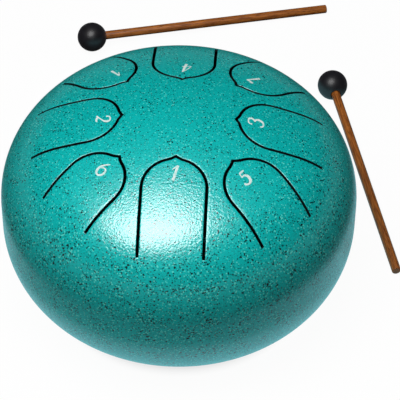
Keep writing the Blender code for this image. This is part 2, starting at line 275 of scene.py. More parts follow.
def shaded_slot_wall(name):
    """Wall of a laser-cut slot: painted almost black as the shade in the slot, with fine upright
    striations.
    """
    striation = (0.0002, 0.0002, 0.004)
    depth = 0.00005
    material, tree, shader, place = new_material(name)
    cells = add(tree, "Mapping", {"Vector": place, "Scale": [1 / size for size in striation]})
    lines = add(tree, "TexNoise", {"Vector": cells.outputs["Vector"], "Scale": 1.0, "Detail": 2.0})
    colour = add(tree, "Mix", {FACTOR: lines.outputs["Fac"], FIRST: linear("060C0D"),
                               SECOND: linear("101C1E")}, data_type='RGBA')
    bump = add(tree, "Bump", {"Height": lines.outputs["Fac"], "Strength": 0.5, "Distance": depth})
    tree.links.new(colour.outputs[MIXED], shader.inputs["Base Color"])
    tree.links.new(bump.outputs["Normal"], shader.inputs["Normal"])
    shader.inputs["Roughness"].default_value = 0.85
    shader.inputs["Specular IOR Level"].default_value = 0.2
    return material


def darkened_inside(name):
    """Steel left bare inside the drum: dark grey mill scale, dull and blotched, and darkened further as
    painted shade inside the drum.
    """
    blotch_size = 0.004
    depth = 0.0002
    material, tree, shader, place = new_material(name)
    blotches = add(tree, "TexNoise", {"Vector": place, "Scale": 1 / blotch_size, "Detail": 4.0})
    colour = add(tree, "Mix", {FACTOR: blotches.outputs["Fac"], FIRST: linear("121416"),
                               SECOND: linear("25282B")}, data_type='RGBA')
    bump = add(tree, "Bump", {"Height": blotches.outputs["Fac"], "Strength": 0.3,
                              "Distance": depth})
    tree.links.new(colour.outputs[MIXED], shader.inputs["Base Color"])
    tree.links.new(bump.outputs["Normal"], shader.inputs["Normal"])
    shader.inputs["Metallic"].default_value = 0.6
    shader.inputs["Roughness"].default_value = 0.68
    return material


def over_the_die(flat_radius, height):
    """Radius and height above the floor of a point of the blank once it is pressed."""
    if flat_radius < CROWN_EDGE:
        slope = math.asin(flat_radius / CROWN_RADIUS)
        reach = CROWN_RADIUS + height
        return reach * math.sin(slope), CROWN_CENTRE_Z + reach * math.cos(slope)
    if flat_radius < PLAN_RADIUS:
        slope = math.asin((flat_radius - SHOULDER_CENTRE) / SHOULDER_RADIUS)
    else:
        slope = min(math.pi / 2, PLAN_SLOPE + (flat_radius - PLAN_RADIUS) / SHOULDER_RADIUS)
    down = max(0.0, flat_radius - PLAN_RADIUS - WRAP_LENGTH)
    reach = SHOULDER_RADIUS + height
    return SHOULDER_CENTRE + reach * math.sin(slope), SIDE_TOP + reach * math.cos(slope) - down


def press(obj):
    """Move a flat piece, drawn about the origin with the sheet's outer face at z = 0, to the dome."""
    for vertex in obj.data.vertices:
        plan = vertex.co.to_2d()
        radius, height = over_the_die(plan.length, vertex.co.z)
        if plan.length > 0:
            plan *= radius / plan.length
        vertex.co = (AXIS.x + plan.x, AXIS.y + plan.y, height)
    obj.data.update()


def slot_ribbon(tip_ring, length, azimuth):
    """Upright ribbon as thick as a slot is wide: an arch with a small point, and two straight legs."""
    half_width = TONGUE_WIDTH / 2
    arch_centre = tip_ring + TIP_POINT_HEIGHT + half_width
    # A test with this slack takes in the arch's two ends, and is well short of the next points
    slack = half_width / ARCH_STEPS
    bpy.ops.mesh.primitive_circle_add(vertices=ARCH_STEPS, radius=half_width,
                                      location=(arch_centre, 0.0, -2 * WALL))
    ribbon = bpy.context.object
    bpy.ops.object.transform_apply(location=True)
    edit(ribbon)
    select('VERT', lambda vertex: vertex.co.x > arch_centre + slack)
    bpy.ops.mesh.delete(type='VERT')
    select('VERT', lambda vertex: vertex.co.x < arch_centre - half_width * math.cos(1 / ARCH_STEPS))
    bpy.ops.transform.translate(value=(-TIP_POINT_HEIGHT, 0.0, 0.0), use_proportional_edit=True,
                                proportional_edit_falloff='SHARP',
                                proportional_size=half_width * TIP_POINT_ANGLE)
    select('VERT', lambda vertex: vertex.co.x > arch_centre - slack)
    extrude_by(tip_ring + length - arch_centre, 0.0)
    bpy.ops.mesh.select_all(action='SELECT')
    extrude_by(0.0, 3 * WALL)
    deselect_all()
    modify(ribbon, 'SOLIDIFY', thickness=SLOT_WIDTH, offset=0.0, use_even_offset=True)
    ribbon.rotation_euler.z = azimuth
    return ribbon


def tongue_azimuth(index):
    """Direction in which a tongue points. The first points to the player."""
    return -math.pi / 2 + 2 * math.pi * index / len(TONGUES)


def on_slot_rim(edge):
    """Tell an edge between the blank's outer face and the wall of a slot."""
    outer = all(abs(v.co.z) < WALL / 100 and v.co.to_2d().length < PLAN_RADIUS for v in edge.verts)
    return outer and any(abs(face.normal.z) < WALL_NORMAL for face in edge.link_faces)


def in_slot(face):
    """Tell a face of a slot's wall or rounded rim from the blank's own edge and broad faces."""
    return (abs(face.normal.z) < WALL_NORMAL
            and face.calc_center_median().to_2d().length < PLAN_RADIUS)


deselect_all()
bpy.ops.mesh.primitive_cylinder_add(vertices=BLANK_STEPS, radius=BLANK_RADIUS, depth=WALL,
                                    location=(0.0, 0.0, -WALL / 2))
playing_shell = bpy.context.object
playing_shell.name = "playing_shell"
bpy.ops.object.transform_apply(location=True)
coat = powder_coat("teal_powder_coat")
inside = darkened_inside("bare_steel_darkened_as_shade")
playing_shell.data.materials.append(coat)
ribbons = [slot_ribbon(ring, length, tongue_azimuth(i)) for i, (_, ring, length) in enumerate(TONGUES)]
subtract(playing_shell, joined(ribbons))
edit(playing_shell)
select('EDGE', on_slot_rim)
bpy.ops.mesh.bevel(offset=EDGE_ROLL, segments=3, profile=0.5)
# Slot walls and their steep rim faces are painted almost black as the slots' shade
select('FACE', in_slot)
give_selected(playing_shell, shaded_slot_wall("slot_wall_painted_shade"))
# The inside of the blank is darkened as painted shade
select('FACE', lambda face: face.normal.z < UNDERSIDE_NORMAL
       and face.calc_center_median().z < -WALL / 2)
give_selected(playing_shell, inside)
grid_count = int(BLANK_RADIUS / GRID_STEP)
for across in (Vector((1.0, 0.0, 0.0)), Vector((0.0, 1.0, 0.0))):
    for step in range(-grid_count, grid_count + 1):
        bpy.ops.mesh.select_all(action='SELECT')
        bpy.ops.mesh.bisect(plane_co=across * step * GRID_STEP, plane_no=across)
deselect_all()
press(playing_shell)
finish(playing_shell, coat, "drum", "body_paint", "top_shell")


# Numbers, pad-printed in white enamel at the tip of each tongue, in a pen-drawn italic hand. They
# give the tongues' notes of the scale, and the high 1 is the octave. Strokes are in millimetres.
MILLIMETRES = 1000
# The film's thickness, as a share of a stroke's width, and the cell in which strokes are fused
ENAMEL_SWELL = 0.05
PRINT_CELL = 0.0002
# Distance of each number's middle from the drum's axis
NUMBER_RINGS = {"1": 0.0530, "5": 0.0695, "3": 0.0533, "7": 0.0701, "4": 0.0554, "high_1": 0.0706,
                "2": 0.0530, "6": 0.0694}
# Each stroke is a row of points (right, up, half width), with up towards the middle of the drum
STROKES = {
    "1": (((1.9, 5.9, 0.85), (0.4, 0.0, 0.90), (-1.0, -5.9, 0.95)),
          ((1.9, 5.9, 0.55), (0.2, 4.4, 0.50), (-1.8, 2.6, 0.30))),
    "5": (((-3.3, 4.7, 0.60), (-1.2, 4.8, 0.75), (1.0, 5.3, 0.35)),
          ((-3.2, 4.7, 0.45), (-4.0, 1.4, 0.35)),
          ((-4.0, 1.4, 0.35), (-2.0, 1.9, 0.60), (-0.1, 0.9, 1.00), (0.3, -1.2, 1.15),
           (-0.5, -3.3, 1.00), (-2.6, -4.6, 0.60), (-4.8, -4.1, 0.70), (-5.7, -2.9, 0.80))),
    "3": (((-2.2, 2.6, 0.75), (-1.6, 4.6, 0.50), (0.7, 5.3, 0.45), (3.0, 4.6, 0.80),
           (3.4, 2.9, 0.90), (2.4, 1.4, 0.70), (0.6, 0.7, 0.40)),
          ((0.6, 0.7, 0.40), (2.6, 0.2, 0.70), (3.3, -1.7, 1.00), (2.2, -4.0, 0.90),
           (-0.2, -5.2, 0.55), (-2.5, -4.6, 0.60), (-3.4, -3.2, 0.75))),
    "7": (((-3.1, 2.2, 0.50), (-2.4, 3.0, 0.90), (-0.3, 2.8, 0.90), (2.2, 3.4, 0.80)),
          ((2.4, 3.4, 0.50), (1.4, 0.8, 0.60), (0.4, -2.6, 0.90), (-0.5, -6.6, 1.10))),
    "4": (((0.3, 6.0, 0.60), (-0.9, 0.0, 0.95), (-2.0, -6.0, 1.05)),
          ((0.2, 5.8, 0.40), (-3.2, 1.6, 0.35), (-5.6, -2.4, 0.50)),
          ((-5.7, -2.6, 0.40), (-2.5, -2.3, 0.35), (1.0, -1.9, 0.45))),
    "high_1": (((-1.8, 5.1, 0.60), (-2.4, 0.0, 0.80), (-3.2, -5.4, 0.95)),
               ((-1.9, 4.9, 0.40), (-3.4, 2.8, 0.40), (-4.9, 0.6, 0.35))),
    "2": (((-0.2, 2.3, 0.75), (0.4, 4.4, 0.45), (2.6, 5.4, 0.50), (4.9, 4.3, 0.90),
           (4.8, 2.2, 0.85), (2.6, -0.6, 0.50), (-1.4, -4.2, 0.40)),
          ((-1.8, -4.4, 0.50), (-0.2, -3.7, 0.80), (1.8, -4.3, 0.85), (3.6, -4.1, 0.60),
           (4.2, -3.4, 0.35))),
    "6": (((0.4, 6.4, 0.35), (-2.2, 4.0, 0.65), (-3.9, 0.8, 0.95), (-3.5, -2.6, 0.90),
           (-1.3, -4.2, 0.60), (1.2, -3.2, 0.80), (2.0, -0.6, 0.85), (0.9, 1.6, 0.60),
           (-0.9, 2.0, 0.40), (-2.6, 1.0, 0.35)),),
}


def printed_enamel(name):
    """White enamel printed by a soft pad: a satin film, a little thin and uneven."""
    patch_size = 0.0014
    depth = 0.00005
    material, tree, shader, place = new_material(name)
    patches = add(tree, "TexNoise", {"Vector": place, "Scale": 1 / patch_size, "Detail": 2.0})
    thin = add(tree, "MapRange", {"Value": patches.outputs["Fac"], "From Min": 0.4, "From Max": 0.75})
    colour = add(tree, "Mix", {FACTOR: thin.outputs["Result"], FIRST: linear("E2ECE8"),
                               SECOND: linear("A8DDD6")}, data_type='RGBA')
    bump = add(tree, "Bump", {"Height": patches.outputs["Fac"], "Strength": 0.5, "Distance": depth})
    tree.links.new(colour.outputs[MIXED], shader.inputs["Base Color"])
    tree.links.new(bump.outputs["Normal"], shader.inputs["Normal"])
    shader.inputs["Roughness"].default_value = 0.4
    return material


def printed_number(name, strokes, ring, azimuth):
    """Draw a number flat, pad the strokes into one film, and lay it on the dome."""
    pen = bpy.data.curves.new(name, 'CURVE')
    pen.dimensions = '3D'
    pen.bevel_depth = 1 / MILLIMETRES
    pen.bevel_resolution = 4
    pen.use_fill_caps = True
    for stroke in strokes:
        spline = pen.splines.new('BEZIER')
        spline.bezier_points.add(len(stroke) - 1)
        for point, (right, up, half_width) in zip(spline.bezier_points, stroke):
            point.co = (right / MILLIMETRES, up / MILLIMETRES, 0.0)
            point.radius = half_width
            point.handle_left_type = point.handle_right_type = 'AUTO'
    number = bpy.data.objects.new(name, pen)
    bpy.context.scene.collection.objects.link(number)
    select_only(number)
    bpy.ops.object.convert(target='MESH')
    number = bpy.context.object
    modify(number, 'REMESH', mode='VOXEL', voxel_size=PRINT_CELL)
    modify(number, 'SMOOTH', factor=0.5, iterations=4)
    number.scale.z = ENAMEL_SWELL
    number.rotation_euler.z = azimuth + math.pi / 2
    number.location = (ring * math.cos(azimuth), ring * math.sin(azimuth), 0.0)
    bpy.ops.object.transform_apply(location=True, rotation=True, scale=True)
    press(number)
    return number


enamel = printed_enamel("white_pad_printed_enamel")
for index, (name, _, _) in enumerate(TONGUES):
    number = printed_number("number_" + name, STROKES[name], NUMBER_RINGS[name], tongue_azimuth(index))
    finish(number, enamel, "drum", "body_paint")


# Weld between the two shells. It runs all round the side, and is ground flush and painted over, so
# that the two halves look like one body. Its root stands out a little inside the drum.
WELD_MIDDLE = (weld_low.z + weld_high.z) / 2
WELD_ROOT = 0.0002
GRINDING_HOLLOW = 0.000025
# Points closer than the first are merged, and the second finds the two ends of a profile
MERGE_DISTANCE = 1e-6
END_DISTANCE = 1e-7


def single_point(name, radius, height):
    """Add a mesh of one vertex, open in edit mode and selected."""
    bpy.ops.mesh.primitive_plane_add(size=WALL, location=(radius, 0.0, height))
    piece = bpy.context.object
    piece.name = name
    bpy.ops.object.transform_apply(location=True)
    edit(piece)
    bpy.ops.mesh.select_mode(type='VERT')
    bpy.ops.mesh.select_all(action='SELECT')
    bpy.ops.mesh.merge(type='CENTER')
    return piece


def turned(name, profile, steps, closed=True):
    """Spin a profile of (radius, height) points about the Z axis."""
    piece = single_point(name, *profile[0])
    for (r0, z0), (r1, z1) in zip(profile, profile[1:]):
        extrude_by(r1 - r0, z1 - z0)
    if closed:
        ends = [Vector((r, 0.0, z)) for r, z in (profile[0], profile[-1])]
        select('VERT', lambda vertex: min((vertex.co - end).length for end in ends) < END_DISTANCE)
        bpy.ops.mesh.edge_face_add()
    bpy.ops.mesh.select_all(action='SELECT')
    bpy.ops.mesh.spin(steps=steps, angle=2 * math.pi, center=(0.0, 0.0, 0.0), axis=(0.0, 0.0, 1.0))
    bpy.ops.mesh.select_all(action='SELECT')
    bpy.ops.mesh.remove_doubles(threshold=MERGE_DISTANCE)
    bpy.ops.mesh.normals_make_consistent(inside=False)
    deselect_all()
    return piece


weld = turned("seam_weld_ground_flush", [
    (DRUM_RADIUS, weld_high.z), (DRUM_RADIUS - GRINDING_HOLLOW, WELD_MIDDLE),
    (DRUM_RADIUS, weld_low.z), (DRUM_RADIUS - WALL, weld_low.z),
    (DRUM_RADIUS - WALL - WELD_ROOT, WELD_MIDDLE), (DRUM_RADIUS - WALL, weld_high.z)], BLANK_STEPS)
weld.location = (AXIS.x, AXIS.y, 0.0)
finish(weld, coat, "drum", "body_paint", "seam_weld")


# Lower shell, pressed from the same sheet: a rounded belly, a flat base, a sound hole whose edge is
# turned up into the drum, and three holes for the screws of the feet. It has the same powder coat.
BELLY_RADIUS = 0.0666
BELLY_ANGLE = math.radians(50)
HEEL_RADIUS = 0.0348
SOUND_HOLE_RADIUS = 0.030
LIP_BEND_RADIUS = 0.004
LIP_HEIGHT = 0.003
LIP_ROUNDING = 0.0006
SCREW_HOLE_RADIUS = 0.0023
BELLY_STEPS = 24
HEEL_STEPS = 20
LIP_STEPS = 8
SCREW_HOLE_STEPS = 48
BASE_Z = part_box("bottom_shell")[0].z
LIP_TOP = BASE_Z + LIP_BEND_RADIUS + LIP_HEIGHT
FOOT_PLACES = [(sum(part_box("foot_" + number), Vector()) / 2).to_2d() - AXIS for number in "123"]
# A point (radius, height) in the drum's hollow, which every inside face looks towards
HOLLOW = Vector((DRUM_RADIUS * 0.6, LIP_TOP + WALL))


def arc(centre, radius, start, end, steps):
    """Points (radius, height) of an arc in a profile, with both ends. Angles are in degrees."""
    points = []
    for step in range(steps + 1):
        angle = math.radians(start + (end - start) * step / steps)
        points.append((centre[0] + radius * math.cos(angle), centre[1] + radius * math.sin(angle)))
    return points


def lower_shell_face(inset):
    """Profile of the lower shell from the weld to the lip, at a depth below its outer face."""
    heel_z = BASE_Z + HEEL_RADIUS
    side_bottom = heel_z + (BELLY_RADIUS - HEEL_RADIUS) * math.sin(BELLY_ANGLE)
    belly_centre = DRUM_RADIUS - BELLY_RADIUS
    heel_centre = belly_centre + (BELLY_RADIUS - HEEL_RADIUS) * math.cos(BELLY_ANGLE)
    lip_centre = (SOUND_HOLE_RADIUS + LIP_BEND_RADIUS, BASE_Z + LIP_BEND_RADIUS)
    turn = math.degrees(BELLY_ANGLE)
    points = [(DRUM_RADIUS - inset, weld_low.z)]
    points += arc((belly_centre, side_bottom), BELLY_RADIUS - inset, 0, -turn, BELLY_STEPS)
    points += arc((heel_centre, heel_z), HEEL_RADIUS - inset, -turn, -90, HEEL_STEPS)[1:]
    points += arc(lip_centre, LIP_BEND_RADIUS - inset, -90, -180, LIP_STEPS)
    points.append((SOUND_HOLE_RADIUS + inset, LIP_TOP))
    return points


def on_lip_rim(edge):
    """Tell an edge that runs round the top of the sound hole's lip."""
    at_top = all(abs(v.co.z - LIP_TOP) < LIP_ROUNDING / 2 for v in edge.verts)
    radii = [v.co.to_2d().length for v in edge.verts]
    return (at_top and max(radii) < SOUND_HOLE_RADIUS + 2 * WALL
            and abs(radii[0] - radii[1]) < WALL / 2)


def faces_hollow(face):
    """Tell an inside face: in profile, its normal looks towards the drum's hollow."""
    middle = face.calc_center_median()
    normal = Vector((face.normal.to_2d().dot(middle.to_2d().normalized()), face.normal.z))
    return normal.dot(HOLLOW - Vector((middle.to_2d().length, middle.z))) > 0


lower_shell = turned("lower_shell", lower_shell_face(0.0) + lower_shell_face(WALL)[::-1], BLANK_STEPS)
lower_shell.data.materials.append(coat)
edit(lower_shell)
select('EDGE', on_lip_rim)
bpy.ops.mesh.bevel(offset=LIP_ROUNDING, segments=4, profile=0.5)
# The inside faces are darkened as painted shade
select('FACE', faces_hollow)
give_selected(lower_shell, inside)
deselect_all()
for place in FOOT_PLACES:
    bpy.ops.mesh.primitive_cylinder_add(vertices=SCREW_HOLE_STEPS, radius=SCREW_HOLE_RADIUS,
                                        depth=4 * WALL, location=(place.x, place.y, BASE_Z))
    subtract(lower_shell, bpy.context.object)
lower_shell.location = (AXIS.x, AXIS.y, 0.0)
finish(lower_shell, coat, "drum", "body_paint", "bottom_shell")


# Feet: three moulded black rubber bumpers, tapered, with a moulded ring groove. Each is recessed
# below for the screw's head, and keeps the drum's base off the table.
FOOT_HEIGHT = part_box("foot_1")[1].z
FOOT_TOP_RADIUS = 0.010
FOOT_BOTTOM_RADIUS = 0.0085
FOOT_ROUNDING = 0.001
FOOT_TOP_ROUNDING = 0.0004
# Degrees below level at which each rounding meets the tapered side
FOOT_LEAN = 8
GROOVE_Z = 0.0066
GROOVE_RADIUS = 0.0004
RECESS_RADIUS = 0.0053
RECESS_Z = 0.0055
RECESS_CHAMFER = 0.0003
FOOT_STEPS = 96
FOOT_TOP_STEPS = 5
FOOT_BOTTOM_STEPS = 6
GROOVE_STEPS = 8


def moulded_rubber(name):
    """Black rubber from a spark-eroded mould: a dull sheen, with grey dust in its fine grain."""
    # The real grain is about 0.1 mm, and is drawn coarser so that it shows
    grain_size = 0.0006
    grain_depth = 0.0001
    material, tree, shader, place = new_material(name)
    grain = add(tree, "TexNoise", {"Vector": place, "Scale": 1 / grain_size, "Detail": 3.0})
    dust = add(tree, "MapRange", {"Value": grain.outputs["Fac"], "From Min": 0.45, "From Max": 0.7})
    colour = add(tree, "Mix", {FACTOR: dust.outputs["Result"], FIRST: linear("161617"),
                               SECOND: linear("2C2C2D")}, data_type='RGBA')
    bump = add(tree, "Bump", {"Height": grain.outputs["Fac"], "Strength": 0.6,
                              "Distance": grain_depth})
    tree.links.new(colour.outputs[MIXED], shader.inputs["Base Color"])
    tree.links.new(bump.outputs["Normal"], shader.inputs["Normal"])
    shader.inputs["Roughness"].default_value = 0.62
    return material


def fit_to_feet(pattern, name, node, material, slot, sharp=math.radians(40)):
    """Put a copy of one piece, with its own mesh, at each foot, in place of its node."""
    for number, place in enumerate(FOOT_PLACES, 1):
        copy = pattern.copy()
        copy.data = pattern.data.copy()
        copy.name = name + "_" + str(number)
        bpy.context.scene.collection.objects.link(copy)
        copy.location = (AXIS.x + place.x, AXIS.y + place.y, 0.0)
        finish(copy, material, "drum", slot, node + "_" + str(number), sharp=sharp)
    bpy.data.objects.remove(pattern)


def foot_side(height):
    """Radius of the foot's tapered side at a height."""
    return FOOT_BOTTOM_RADIUS + (FOOT_TOP_RADIUS - FOOT_BOTTOM_RADIUS) * height / FOOT_HEIGHT


foot_outline = [(SCREW_HOLE_RADIUS, FOOT_HEIGHT)]
foot_outline += arc((FOOT_TOP_RADIUS - FOOT_TOP_ROUNDING, FOOT_HEIGHT - FOOT_TOP_ROUNDING),
                    FOOT_TOP_ROUNDING, 90, -FOOT_LEAN, FOOT_TOP_STEPS)
foot_outline += arc((foot_side(GROOVE_Z), GROOVE_Z), GROOVE_RADIUS, 90, 270, GROOVE_STEPS)
foot_outline += arc((FOOT_BOTTOM_RADIUS - FOOT_ROUNDING, FOOT_ROUNDING), FOOT_ROUNDING,
                    -FOOT_LEAN, -90, FOOT_BOTTOM_STEPS)
foot_outline += [(RECESS_RADIUS + RECESS_CHAMFER, 0.0), (RECESS_RADIUS, RECESS_CHAMFER),
                 (RECESS_RADIUS, RECESS_Z), (SCREW_HOLE_RADIUS, RECESS_Z)]
foot = turned("foot_pattern", foot_outline, FOOT_STEPS)
fit_to_feet(foot, "rubber_foot", "foot", moulded_rubber("black_rubber_of_feet"), "foot_rubber")


# Fixings of the feet, in zinc-plated steel: a stamped flat washer, an M4 pan-head screw with a
# cross recess, put in from below, and a chamfered hexagon nut inside the drum.
washer_low, washer_high = (corner.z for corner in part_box("foot_washer_1"))
screw_low, screw_high = (corner.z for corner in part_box("foot_screw_1"))
nut_low, nut_high = (corner.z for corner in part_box("foot_nut_1"))
WASHER_RADIUS = 0.0045
WASHER_CHAMFER = 0.00012
SCREW_RADIUS = 0.002
SCREW_HEAD_RADIUS = 0.004
SCREW_HEAD_HEIGHT = 0.0026
SCREW_HEAD_EDGE = SCREW_HEAD_HEIGHT / 2
SCREW_SEAT = screw_low + SCREW_HEAD_HEIGHT
CROSS_ARM = 0.0021
CROSS_WIDTH = 0.0009
CROSS_DEPTH = 0.0017
CROSS_TAPER = 0.45
# Each flank of the thread rises by a little under half its pitch, and the ridge is rooted in the core
THREAD_PITCH = 0.0007
THREAD_DEPTH = 0.0004
THREAD_FLANK = THREAD_PITCH * 0.45
THREAD_ROOT = THREAD_DEPTH / 4
SCREW_CORE = SCREW_RADIUS - THREAD_DEPTH
# The nut's chamfer starts just inside its flats and runs out past its corners
NUT_WIDTH = 0.007
NUT_CORNER = NUT_WIDTH / 2 / math.cos(math.pi / 6)
NUT_CHAMFER = 0.00035
NUT_CHAMFER_RISE = NUT_CHAMFER * 1.6
NUT_RIM = NUT_WIDTH / 2 - NUT_CHAMFER / 3
NUT_PAST_CORNER = NUT_CORNER * 1.02
FIXING_STEPS = 64
HEAD_EDGE_STEPS = 8
THREAD_STEPS = 32
NUT_CHAMFER_STEPS = 96
NUT_BORE_STEPS = 48
FINE_SHARP = math.radians(30)
NUT_SHARP = math.radians(20)


def zinc_plate(name):
    """Clear zinc plating on steel: bright and faintly bluish, with fine handling marks."""
    grain_size = 0.0005
    material, tree, shader, place = new_material(name)
    marks = add(tree, "TexNoise", {"Vector": place, "Scale": 1 / grain_size, "Detail": 4.0})
    colour = add(tree, "Mix", {FACTOR: marks.outputs["Fac"], FIRST: linear("A9AEB4"),
                               SECOND: linear("CFD3D6")}, data_type='RGBA')
    rough = add(tree, "MapRange", {"Value": marks.outputs["Fac"], "To Min": 0.22, "To Max": 0.42})
    tree.links.new(colour.outputs[MIXED], shader.inputs["Base Color"])
    tree.links.new(rough.outputs["Result"], shader.inputs["Roughness"])
    shader.inputs["Metallic"].default_value = 1.0
    return material


def cut_cross(screw):
    """Press the cross recess into the head, as two tapered blades at right angles."""
    for turn in (0.0, math.pi / 2):
        bpy.ops.mesh.primitive_cube_add(size=1.0, location=(0.0, 0.0, screw_low))
        blade = bpy.context.object
        blade.dimensions = (2 * CROSS_ARM, CROSS_WIDTH, 2 * CROSS_DEPTH)
        blade.rotation_euler.z = turn
        bpy.ops.object.transform_apply(location=True, rotation=True, scale=True)
        edit(blade)
        select('VERT', lambda vertex: vertex.co.z > screw_low)
        bpy.ops.transform.resize(value=(CROSS_TAPER, CROSS_TAPER, 1.0),
                                 center_override=(0.0, 0.0, screw_low))
        deselect_all()
        subtract(screw, blade)


def rolled_thread():
    """Ridge of the thread: a triangle wound up the screw's core, with closed ends."""
    thread = single_point("thread", SCREW_CORE, SCREW_SEAT)
    extrude_by(THREAD_DEPTH, THREAD_FLANK)
    extrude_by(-THREAD_DEPTH, THREAD_FLANK)
    extrude_by(-THREAD_ROOT, -THREAD_FLANK)
    select('VERT', lambda vertex: vertex.co.x < SCREW_CORE + THREAD_ROOT / 2
           and vertex.co.z < SCREW_SEAT + THREAD_FLANK * 4 / 3)
    bpy.ops.mesh.edge_face_add()
    deselect_all()
    turns = int((screw_high - SCREW_SEAT) / THREAD_PITCH) - 1
    modify(thread, 'SCREW', axis='Z', angle=2 * math.pi, screw_offset=THREAD_PITCH, iterations=turns,
           steps=THREAD_STEPS, render_steps=THREAD_STEPS, use_smooth_shade=False)
    edit(thread)
    bpy.ops.mesh.select_mode(type='EDGE')
    bpy.ops.mesh.select_all(action='DESELECT')
    bpy.ops.mesh.select_non_manifold()
    bpy.ops.mesh.fill_holes(sides=0)
    bpy.ops.mesh.select_all(action='SELECT')
    bpy.ops.mesh.normals_make_consistent(inside=False)
    deselect_all()
    return thread


zinc = zinc_plate("zinc_plated_steel")
washer = turned("washer_pattern", [
    (WASHER_RADIUS - WASHER_CHAMFER, washer_high), (WASHER_RADIUS, washer_high - WASHER_CHAMFER),
    (WASHER_RADIUS, washer_low + WASHER_CHAMFER), (WASHER_RADIUS - WASHER_CHAMFER, washer_low),
    (SCREW_HOLE_RADIUS + WASHER_CHAMFER, washer_low),
    (SCREW_HOLE_RADIUS, washer_low + WASHER_CHAMFER),
    (SCREW_HOLE_RADIUS, washer_high - WASHER_CHAMFER),
    (SCREW_HOLE_RADIUS + WASHER_CHAMFER, washer_high)], FIXING_STEPS)
fit_to_feet(washer, "washer", "foot_washer", zinc, "fastener_steel", sharp=FINE_SHARP)

screw_outline = [(0.0, screw_high), (SCREW_CORE, screw_high), (SCREW_CORE, SCREW_SEAT),
                 (SCREW_HEAD_RADIUS, SCREW_SEAT)]
screw_outline += arc((SCREW_HEAD_RADIUS - SCREW_HEAD_EDGE, screw_low + SCREW_HEAD_EDGE),
                     SCREW_HEAD_EDGE, 0, -90, HEAD_EDGE_STEPS)
screw_outline += [(0.0, screw_low)]
screw = turned("screw_pattern", screw_outline, FIXING_STEPS, closed=False)
cut_cross(screw)
screw = joined([screw, rolled_thread()])
fit_to_feet(screw, "pan_head_screw", "foot_screw", zinc, "fastener_steel", sharp=FINE_SHARP)

bpy.ops.mesh.primitive_cylinder_add(vertices=6, radius=NUT_CORNER, depth=nut_high - nut_low,
                                    location=(0.0, 0.0, (nut_low + nut_high) / 2),
                                    rotation=(0.0, 0.0, math.pi / 2))
nut = bpy.context.object
bpy.ops.object.transform_apply(location=True, rotation=True)
subtract(nut, turned("nut_chamfer", [
    (0.0, nut_low), (NUT_RIM, nut_low), (NUT_PAST_CORNER, nut_low + NUT_CHAMFER_RISE),
    (NUT_PAST_CORNER, nut_high - NUT_CHAMFER_RISE), (NUT_RIM, nut_high), (0.0, nut_high)],
    NUT_CHAMFER_STEPS, closed=False), 'INTERSECT')
countersink = SCREW_HOLE_RADIUS + 2 * NUT_CHAMFER
subtract(nut, turned("nut_bore", [
    (0.0, nut_low - NUT_CHAMFER), (countersink, nut_low - NUT_CHAMFER),
    (SCREW_HOLE_RADIUS, nut_low + NUT_CHAMFER), (SCREW_HOLE_RADIUS, nut_high - NUT_CHAMFER),
    (countersink, nut_high + NUT_CHAMFER), (0.0, nut_high + NUT_CHAMFER)],
    NUT_BORE_STEPS, closed=False))
fit_to_feet(nut, "hexagon_nut", "foot_nut", zinc, "fastener_steel", sharp=NUT_SHARP)


# Mallets: a moulded rubber ball, glossy black, pressed on a turned wooden stick. Both lie on the
# floor, the ball and the stick's tail touching it. A mallet is drawn upright, its ball at the origin.
MALLET_LENGTH = 0.215
BALL_RADIUS = 0.012
BORE_RADIUS = 0.0038
BORE_DEPTH = 0.015
MOUTH_ROUNDING = 0.0006
STICK_RADIUS = 0.0035
STICK_ROUNDING = 0.0008
STICK_GAP = 0.0003
BALL_STEPS = 72
BALL_ARC_STEPS = 40
MOUTH_STEPS = 6
STICK_STEPS = 48
STICK_END_STEPS = 5
# Each mallet: its side, its stand-off from the drum, its heading, and the ball's lead along that
MALLETS = (
    ("back", 0.143, math.radians(16.65), -0.0092),
    ("side", 0.0329, math.radians(-76.1), -0.1739),
)
BORE_END = BORE_DEPTH - BALL_RADIUS
STICK_TOP = BORE_END - STICK_GAP
STICK_TAIL = MALLET_LENGTH - BALL_RADIUS
MOUTH_RADIUS = BORE_RADIUS + MOUTH_ROUNDING
MOUTH_ANGLE = math.degrees(math.acos(MOUTH_RADIUS / (BALL_RADIUS - MOUTH_ROUNDING)))
MOUTH_Z = -(BALL_RADIUS - MOUTH_ROUNDING) * math.sin(math.radians(MOUTH_ANGLE))
# The rounded tail touches the floor this far along, which sets how much a resting mallet tilts
TAIL_CONTACT = STICK_TAIL - STICK_ROUNDING
TILT = (math.asin(BALL_RADIUS / math.hypot(TAIL_CONTACT, STICK_RADIUS))
        - math.atan2(STICK_RADIUS, TAIL_CONTACT))


def polished_rubber(name):
    """Glossy black rubber: soft highlights, and a grey veil towards its outline."""
    smear_size = 0.006
    material, tree, shader, place = new_material(name)
    smear = add(tree, "TexNoise", {"Vector": place, "Scale": 1 / smear_size, "Detail": 3.0})
    colour = add(tree, "Mix", {FACTOR: smear.outputs["Fac"], FIRST: linear("141316"),
                               SECOND: linear("222126")}, data_type='RGBA')
    rough = add(tree, "MapRange", {"Value": smear.outputs["Fac"], "To Min": 0.34, "To Max": 0.46})
    tree.links.new(colour.outputs[MIXED], shader.inputs["Base Color"])
    tree.links.new(rough.outputs["Result"], shader.inputs["Roughness"])
    shader.inputs["Specular IOR Level"].default_value = 0.6
    shader.inputs["Sheen Weight"].default_value = 0.25
    shader.inputs["Sheen Roughness"].default_value = 0.35
    shader.inputs["Sheen Tint"].default_value = linear("C8C8D2")
    return material


